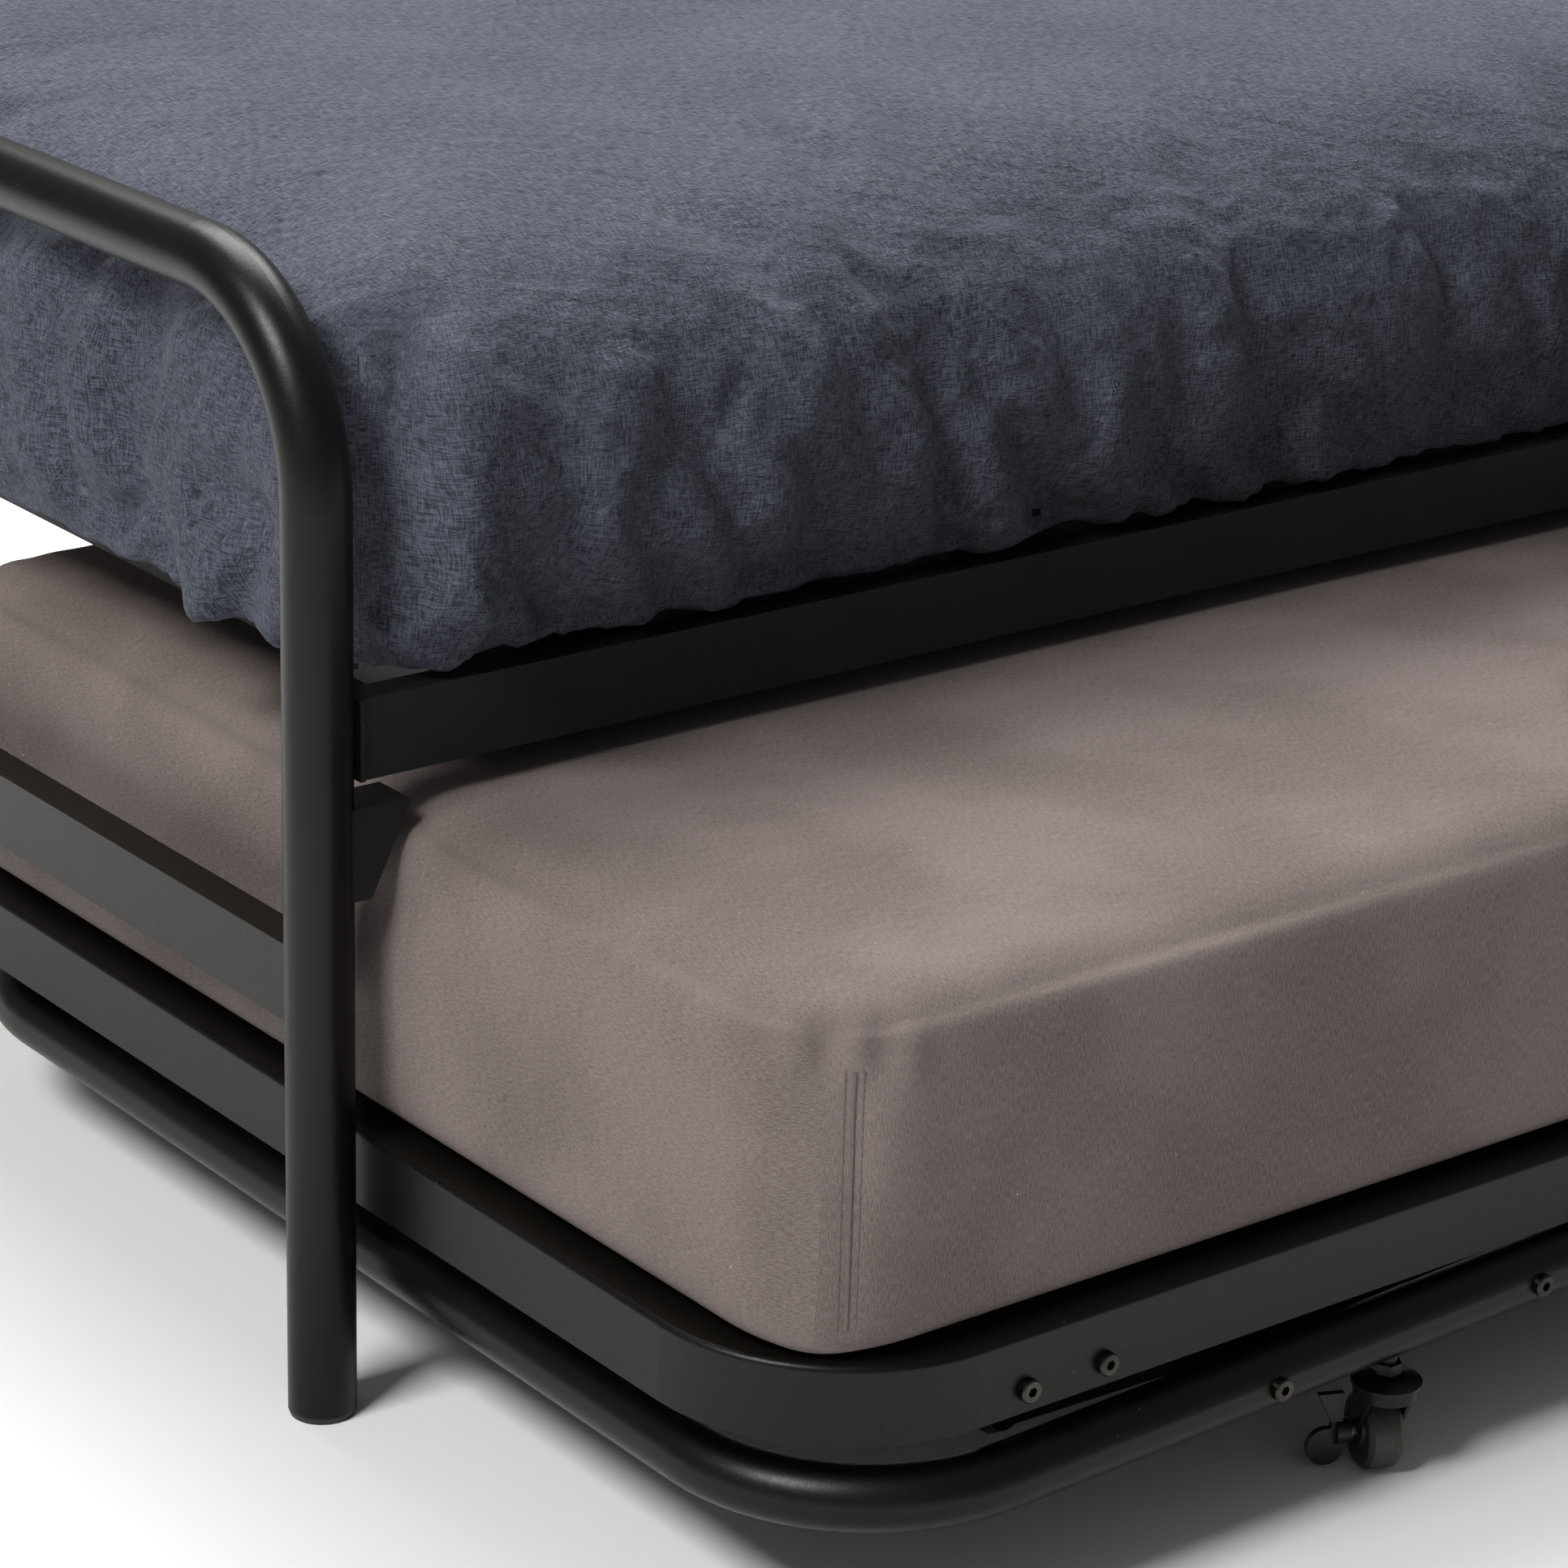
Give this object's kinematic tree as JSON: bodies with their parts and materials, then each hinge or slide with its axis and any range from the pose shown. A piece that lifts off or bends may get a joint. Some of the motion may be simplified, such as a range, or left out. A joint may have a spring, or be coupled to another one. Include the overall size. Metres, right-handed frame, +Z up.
{
  "type": "trundle bed",
  "caption": "Black tube daybed with bent end hoops, duvet-covered mattress, and a rolling trundle with angle-iron deck, lift links, braked casters and its own mattress.",
  "frame": {"origin": "centre of the bounding box's bottom, on the floor, with the trundle pulled out about 0.41 m", "axes": "+X along the bed's length to the right end, +Y from the pulled-out trundle side to the rear, +Z up"},
  "size_m": [2.08, 1.3702, 0.65],
  "materials": {
    "powder_coat": "satin black powder coat",
    "dark_coat": "satin black powder coat",
    "bolt_black": "semi-gloss black oxide",
    "pin_steel": "zinc plated",
    "plug_plastic": "matt black",
    "rest_rubber": "matt black",
    "caster_steel": "gloss black",
    "wheel_plastic": "satin black nylon",
    "pedal_plastic": "satin black",
    "duvet_cloth": "washed dark navy woven cotton",
    "sheet_jersey": "warm taupe grey jersey",
    "mattress_cloth": "off-white ticking"
  },
  "bodies": {
    "bed_frame": {"end_hoop_left": "powder_coat", "end_hoop_right": "powder_coat", "lower_end_rail_left": "powder_coat", "lower_end_rail_right": "powder_coat", "side_rail_front": "dark_coat", "side_rail_rear": "dark_coat", "base_cross_rail_left": "dark_coat", "base_cross_rail_right": "dark_coat", "base_slats": "dark_coat", "bed_mattress": "mattress_cloth", "duvet": "duvet_cloth", "foot_plug_front_left": "plug_plastic", "foot_plug_front_right": "plug_plastic", "foot_plug_rear_left": "plug_plastic", "foot_plug_rear_right": "plug_plastic", "post_gusset_front_left": "dark_coat", "post_gusset_front_right": "dark_coat", "post_gusset_rear_left": "dark_coat", "post_gusset_rear_right": "dark_coat"},
    "trundle_base": {"base_tube_left": "powder_coat", "base_tube_right": "powder_coat", "tube_joiners": "dark_coat", "rest_sleeves": "rest_rubber", "base_bolts": "bolt_black", "lower_link_pins": "pin_steel", "caster_stems": "caster_steel", "base_bracket_front_left": "dark_coat", "base_bracket_front_right": "dark_coat", "base_bracket_rear_left": "dark_coat", "base_bracket_rear_right": "dark_coat"},
    "trundle_deck": {"deck_frame": "powder_coat", "deck_slats": "dark_coat", "deck_bolts": "bolt_black", "upper_link_pins": "pin_steel", "trundle_mattress": "sheet_jersey", "deck_bracket_front_left": "dark_coat", "deck_bracket_front_right": "dark_coat", "deck_bracket_rear_left": "dark_coat", "deck_bracket_rear_right": "dark_coat"},
    "link_front_left": {"lift_link_front_left": "dark_coat"},
    "caster_front_left": {"caster_fork_front_left": "caster_steel", "caster_axle_front_left": "pin_steel"},
    "wheel_front_left": {"caster_wheel_front_left": "wheel_plastic"},
    "pedal_front_left": {"brake_pedal_front_left": "pedal_plastic"},
    "link_front_right": {"lift_link_front_right": "dark_coat"},
    "caster_front_right": {"caster_fork_front_right": "caster_steel", "caster_axle_front_right": "pin_steel"},
    "wheel_front_right": {"caster_wheel_front_right": "wheel_plastic"},
    "pedal_front_right": {"brake_pedal_front_right": "pedal_plastic"},
    "link_rear_left": {"lift_link_rear_left": "dark_coat"},
    "caster_rear_left": {"caster_fork_rear_left": "caster_steel", "caster_axle_rear_left": "pin_steel"},
    "wheel_rear_left": {"caster_wheel_rear_left": "wheel_plastic"},
    "pedal_rear_left": {"brake_pedal_rear_left": "pedal_plastic"},
    "link_rear_right": {"lift_link_rear_right": "dark_coat"},
    "caster_rear_right": {"caster_fork_rear_right": "caster_steel", "caster_axle_rear_right": "pin_steel"},
    "wheel_rear_right": {"caster_wheel_rear_right": "wheel_plastic"},
    "pedal_rear_right": {"brake_pedal_rear_right": "pedal_plastic"}
  },
  "joints": [
    {"name": "trundle_roll", "type": "slide", "parent": "bed_frame", "child": "trundle_base", "axis": [0, -1, 0], "range_m": [-0.405, 0.56]},
    {"name": "deck_lift", "type": "slide", "parent": "trundle_base", "child": "trundle_deck", "axis": [0.0484, 0, 0.9988], "range_m": [0, 0.012]},
    {"name": "link_turn_front_left", "type": "hinge", "parent": "trundle_base", "child": "link_front_left", "pos_m": [-0.551, -0.63792, 0.09594], "axis": [0, 1, 0], "range_deg": [0, 2.5]},
    {"name": "swivel_front_left", "type": "hinge", "parent": "trundle_base", "child": "caster_front_left", "pos_m": [-0.588, -0.66362, 0.0524], "axis": [0, 0, 1], "continuous": true},
    {"name": "wheel_spin_front_left", "type": "hinge", "parent": "caster_front_left", "child": "wheel_front_left", "pos_m": [-0.58331, -0.65258, 0.022], "axis": [-0.9205, 0.3907, 0], "continuous": true},
    {"name": "brake_press_front_left", "type": "hinge", "parent": "caster_front_left", "child": "pedal_front_left", "pos_m": [-0.59896, -0.64593, 0.022], "axis": [-0.9205, 0.3907, 0], "range_deg": [0, 15]},
    {"name": "link_turn_front_right", "type": "hinge", "parent": "trundle_base", "child": "link_front_right", "pos_m": [0.625, -0.63792, 0.09594], "axis": [0, 1, 0], "range_deg": [0, 2.5]},
    {"name": "swivel_front_right", "type": "hinge", "parent": "trundle_base", "child": "caster_front_right", "pos_m": [0.588, -0.66362, 0.0524], "axis": [0, 0, 1], "continuous": true},
    {"name": "wheel_spin_front_right", "type": "hinge", "parent": "caster_front_right", "child": "wheel_front_right", "pos_m": [0.59269, -0.65258, 0.022], "axis": [-0.9205, 0.3907, 0], "continuous": true},
    {"name": "brake_press_front_right", "type": "hinge", "parent": "caster_front_right", "child": "pedal_front_right", "pos_m": [0.57704, -0.64593, 0.022], "axis": [-0.9205, 0.3907, 0], "range_deg": [0, 15]},
    {"name": "link_turn_rear_left", "type": "hinge", "parent": "trundle_base", "child": "link_rear_left", "pos_m": [-0.551, 0.21468, 0.09594], "axis": [0, 1, 0], "range_deg": [0, 2.5]},
    {"name": "swivel_rear_left", "type": "hinge", "parent": "trundle_base", "child": "caster_rear_left", "pos_m": [-0.588, 0.24038, 0.0524], "axis": [0, 0, 1], "continuous": true},
    {"name": "wheel_spin_rear_left", "type": "hinge", "parent": "caster_rear_left", "child": "wheel_rear_left", "pos_m": [-0.58331, 0.25142, 0.022], "axis": [-0.9205, 0.3907, 0], "continuous": true},
    {"name": "brake_press_rear_left", "type": "hinge", "parent": "caster_rear_left", "child": "pedal_rear_left", "pos_m": [-0.59896, 0.25807, 0.022], "axis": [-0.9205, 0.3907, 0], "range_deg": [0, 15]},
    {"name": "link_turn_rear_right", "type": "hinge", "parent": "trundle_base", "child": "link_rear_right", "pos_m": [0.625, 0.21468, 0.09594], "axis": [0, 1, 0], "range_deg": [0, 2.5]},
    {"name": "swivel_rear_right", "type": "hinge", "parent": "trundle_base", "child": "caster_rear_right", "pos_m": [0.588, 0.24038, 0.0524], "axis": [0, 0, 1], "continuous": true},
    {"name": "wheel_spin_rear_right", "type": "hinge", "parent": "caster_rear_right", "child": "wheel_rear_right", "pos_m": [0.59269, 0.25142, 0.022], "axis": [-0.9205, 0.3907, 0], "continuous": true},
    {"name": "brake_press_rear_right", "type": "hinge", "parent": "caster_rear_right", "child": "pedal_rear_right", "pos_m": [0.57704, 0.25807, 0.022], "axis": [-0.9205, 0.3907, 0], "range_deg": [0, 15]}
  ],
  "couplings": [
    {"joint": "link_turn_front_left", "follows": "deck_lift", "rad_per_m": 3.459},
    {"joint": "link_turn_front_right", "follows": "deck_lift", "rad_per_m": 3.459},
    {"joint": "link_turn_rear_left", "follows": "deck_lift", "rad_per_m": 3.459},
    {"joint": "link_turn_rear_right", "follows": "deck_lift", "rad_per_m": 3.459}
  ]
}
